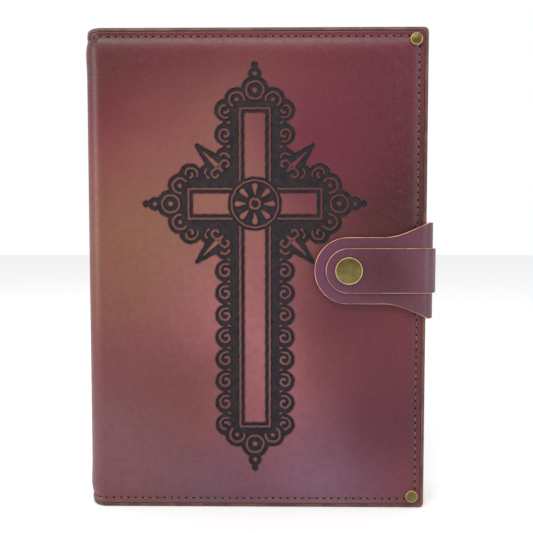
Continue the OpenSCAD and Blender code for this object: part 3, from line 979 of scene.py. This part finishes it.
def strap_layer(name, half, low, thickness, stations, round_start, material):
    """One layer of the strap along its stations, with a round end at the first or the last."""
    inner = np.linspace(1, 0, 6)[1:]
    count = len(EDGE_INSETS) + len(inner)
    drop = np.concatenate([EDGE_DROP, np.zeros(len(inner))])
    inset = np.concatenate([EDGE_INSETS, np.full(len(inner), 5.0)])
    vertices, distances, faces = [], [], []

    def offsets(s):
        """Distances from the middle line, from the edge to the middle."""
        edge = half(s) - EDGE_INSETS
        return np.concatenate([edge, edge[-1] * inner])

    def ring(s, t):
        """Top points, then bottom points, of one half section; returns the index of the first."""
        first = len(vertices)
        for k, share in ((low + thickness - drop, 1.0), (low + np.minimum(drop * 0.4, 0.15), 0.6)):
            vertices.extend(strap_point(s, t, k))
            distances.extend(inset * share)
        return first

    def join(a, b):
        """Faces between two neighbouring half sections; b is to the left seen from outside."""
        for m in range(count - 1):
            faces.append((a + m, a + m + 1, b + m + 1, b + m))
            faces.append((a + count + m, b + count + m, b + count + m + 1, a + count + m + 1))
        faces.append((a, b, b + count, a + count))

    halves = {(side, i): ring(s, side * offsets(s)) for side in (-1, 1) for i, s in enumerate(stations)}
    last = len(stations) - 1
    for i in range(last):
        join(halves[-1, i], halves[-1, i + 1])
        join(halves[1, i + 1], halves[1, i])
    end, way = (0, -1) if round_start else (last, 1)
    offset = offsets(stations[end])
    angles = np.radians(np.linspace(-90, 90, 41)[1:-1])
    rings = [ring(stations[end] + way * offset * math.cos(t), offset * math.sin(t)) for t in angles]
    rings = [halves[-1, end]] + rings + [halves[1, end]]
    for a, b in zip(rings, rings[1:]):
        join(*(a, b)[::way])
    points = np.array(vertices)
    values = {"rest_place": points * MM, "flat_place": points * MM * (1, 0, 1), "edge_distance": distances}
    piece = add_mesh(name, points, faces, [material], None, values)
    weld(piece)
    piece.data.set_sharp_from_angle(angle=math.radians(50))
    return piece


def weld(piece):
    """Joins points that lie in the same place."""
    edit = bmesh.new()
    edit.from_mesh(piece.data)
    bmesh.ops.remove_doubles(edit, verts=edit.verts, dist=0.00001)
    bmesh.ops.recalc_face_normals(edit, faces=edit.faces)
    edit.to_mesh(piece.data)
    edit.free()


def anchor_seam():
    """Stitches round the strap's end, which hold the lower layer to the back cover."""
    inset = 3.0
    radius = FLARE_HALF - inset
    straight = LEG_REAR - (REAR_BEND_X - box_mm("strap_anchor_thread")[1][0])
    turns = np.radians(np.linspace(-90, 90, round(math.pi * radius / STITCH) + 1))
    path = [(s, -radius) for s in seam_marks(straight, 0)[:-1]]
    path += [(-radius * math.cos(turn), radius * math.sin(turn)) for turn in turns]
    path += [(s, radius) for s in seam_marks(0, straight)[1:]]
    parts = Parts()
    u = np.linspace(0.08, 0.92, 9)
    lift = 0.25 * np.sin(math.pi * np.linspace(0, 1, 9)) ** 0.6
    for (s0, t0), (s1, t1) in zip(path, path[1:]):
        centre = strap_point(s0 + (s1 - s0) * u, t0 + (t1 - t0) * u, BASE_T - 0.12 + lift)
        parts.add(*tube(centre, THREAD_R, np.broadcast_to((0.0, 1.0, 0.0), centre.shape)))
    thread = thread_material("anchor_thread", SEAM_LIGHT, SEAM_DARK)
    piece = parts.piece("strap_anchor_stitches", [thread])
    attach(piece, "back_cover")
    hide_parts("strap_anchor_thread")


def make_strap():
    """Two layers, each cut in two in the middle of the fore-edge."""
    anchor_seam()
    plum = leather_shader("strap_leather", STRAP_BASE, STRAP_DYE_AND_SHEEN, 0.5, (214, 156, 126), 0.42)
    middle = (LEGS[2] + LEGS[3]) / 2
    flare_end = LEGS[4] + FLARE_LENGTH
    top_start = (top_rear_low[0] + TOP_HALF) - (rear_low[0] + FLARE_HALF)
    front = np.concatenate([np.linspace(middle, LEGS[3], 6)[:-1], np.linspace(LEGS[3], LEGS[4], 15),
                            np.linspace(LEGS[4], flare_end, 18)[1:],
                            np.linspace(flare_end, LEGS[5], 6)[1:]])
    layers = (("lower", "strap_base_", base_half, 0.0, BASE_T, 0.0),
              ("upper", "strap_top_", lambda s: TOP_HALF, BASE_T, TOP_T, top_start))
    for name, node, half, low, thickness, start in layers:
        def place(s):
            return tuple(strap_point(s, 0, low) * MM)

        rear = np.concatenate([np.linspace(start, LEGS[1], 14)[:-1], np.linspace(LEGS[1], LEGS[2], 9),
                               np.linspace(LEGS[2], middle, 6)[1:]])
        piece = strap_layer("strap_" + name + "_rear", half, low, thickness, rear, True, plum)
        place(LEGS[1] - 5)
        place(LEGS[2] + 5)
        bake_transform(piece)
        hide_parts(node + "back")
        piece = strap_layer("strap_" + name + "_front", half, low, thickness, front, False, plum)
        place(LEGS[4])
        place(LEGS[4] + 10)
        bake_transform(piece)
        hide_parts(node + "side", node + "tab")


# ---- metal


def turned(name, profile, places, body, node, rim_from, material, back=False):
    """A group of turned pieces at (x, y, z); points beyond rim_from count as worn rim."""
    parts = Parts()
    for x, y, z in places:
        vertices, faces = lathe(profile, (x, y, z), 1 if back else -1)
        radius = np.hypot(vertices[:, 0] - x, vertices[:, 2] - z)
        parts.add(vertices, faces, value=np.clip((radius - rim_from) / 0.25, 0, 1))
    piece = parts.piece(name, [material], "rim", 40)
    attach(piece, body)
    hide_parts(node)


def cap_profile(radius, height, rim, hollow):
    """Cap with a rolled rim and a gently domed middle that starts a little below it."""
    half = rim / 2
    foot = [(radius - 0.15, -0.1), (radius, height - half - 0.25)]
    roll = [(radius - half + half * math.cos(t), height - half + half * math.sin(t))
            for t in np.radians(np.linspace(-20, 180, 11))]
    dome = [((radius - rim) * math.cos(t), height - hollow + (hollow * 0.9) * math.sin(t) ** 1.5)
            for t in np.radians(np.linspace(4, 90, 10))]
    return foot + roll + dome[:-1] + [(0, dome[-1][1])]


SNAP_CAP_R = 6.25
SOCKET = [(5.2, 0.5), (5.2, 1.6), (4.9, 1.95), (3.2, 1.95), (2.9, 1.75), (2.5, 1.7), (2.42, 0.7),
          (0, 0.7)]
STUD = [(5.0, -0.3), (5.0, 0.02), (4.8, 0.12), (3.2, 0.12), (2.6, -0.05), (2.0, 0.0), (1.95, 0.45),
        (2.25, 0.6), (2.3, 0.85), (2.1, 1.15), (1.5, 1.3), (0, 1.3)]


def make_metal():
    brass = brass_material()
    tab_face = FACE_Y - GAP
    turned("snap_button", cap_profile(SNAP_CAP_R, 1.4, 0.5, 0.45),
           [(SNAP_X, tab_face - BASE_T - TOP_T, SNAP_Z)],
           "strap_tab", "snap_cap", 5.65, brass)
    turned("snap_socket_ring", SOCKET, [(SNAP_X, tab_face, SNAP_Z)],
           "strap_tab", "snap_socket", 4.8, brass, True)
    turned("snap_stud_head", STUD, [(SNAP_X, FACE_Y, SNAP_Z)],
           "front_cover", "snap_stud", 4.6, brass)
    rivet = cap_profile(RIVET_HEAD_R, 0.95, 0.4, 0.3)
    corner = FORE_X - RIVET_INSET
    for side, y in (("front", FACE_Y + 0.1), ("back", BACK_Y - 0.1)):
        places = [(corner, y, z) for z in (RIVET_INSET, HEIGHT - RIVET_INSET)]
        turned(side + "_corner_rivets", rivet, places,
               side + "_cover", side + "_rivet_caps", 2.35, brass, side == "back")
    low, high = box_mm("strap_rivet_caps")
    places = [(x, low[1], STRAP_Z) for x in (low[0] + RIVET_R, high[0] - RIVET_R)]
    turned("strap_rivets", cap_profile(RIVET_HEAD_R, high[1] - low[1], 0.4, 0.3), places,
           "back_cover", "strap_rivet_caps", 2.4, brass, True)
    for node in ("front_rivet_posts", "back_rivet_posts", "strap_rivet_posts", "snap_stud_post"):
        dress(node, brass)


def dress(node, material):
    """Gives a CAD node a material, and the place values that the material reads."""
    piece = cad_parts[node]
    points = np.array([v.co for v in piece.data.vertices], np.float32)
    places = piece.data.attributes.new("rest_place", "FLOAT_VECTOR", "POINT")
    places.data.foreach_set("vector", points.ravel())
    for slot in piece.material_slots:
        slot.material = material


# ---- book

# Leaves shown in each section
LEAVES = 14


def make_sections(paper):
    """Each section as a stack of leaves, cut a little unevenly at the fore-edge."""
    rng = np.random.default_rng(7)
    for number in range(1, 9):
        low, high = box_mm(f"section_{number}")
        parts = Parts()
        thickness = high[1] - low[1]
        pitch = thickness / LEAVES
        for k in range(LEAVES):
            y0 = low[1] + k * pitch
            y1 = y0 + pitch * 0.86
            mid = ((y0 + y1) / 2 - (low[1] + high[1]) / 2) / (thickness / 2)
            fold = low[0] + thickness / 2 * (1 - math.sqrt(max(0.0, 1 - mid * mid)))
            fore = high[0] - abs(rng.normal(0, 0.12)) - 0.12 * abs(mid)
            head = high[2] - abs(rng.normal(0, 0.05))
            tail = low[2] + abs(rng.normal(0, 0.05))
            parts.add(*slab(fold, y0, tail, fore, y1, head))
        piece = parts.piece(f"leaves_of_section_{number}", [paper], sharp=30)
        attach(piece, f"leaves_{number}")
        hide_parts(f"section_{number}")


def slab(x0, y0, z0, x1, y1, z1):
    """Thin leaf, with a few cross lines."""
    stations = np.linspace(x0, x1, 5)
    vertices = [(x, y, z) for x in stations for y, z in ((y0, z0), (y1, z0), (y1, z1), (y0, z1))]
    return vertices, tube_faces(len(stations), 4)


def make_book():
    make_sections(paper_material("page_paper", (240, 231, 208), (232, 220, 192), True))
    endpaper = paper_material("endpaper", (226, 214, 188), (216, 200, 170))
    cloth = cloth_material("board_cloth", (74, 30, 36), (44, 16, 20))
    suede = suede_material()
    for side in ("front_", "back_"):
        dress(side + "endpaper", endpaper)
        dress(side + "flyleaf", endpaper)
        dress(side + "board", cloth)
        dress(side + "pocket", suede)
        dress(side + "headbands", headband_material())
    dress("book_spine", cloth)
    dress("sewing_thread", thread_material("binding_thread", (214, 200, 168), (186, 168, 132)))


add_camera()
add_studio()
make_cover()
make_strap()
make_metal()
make_book()
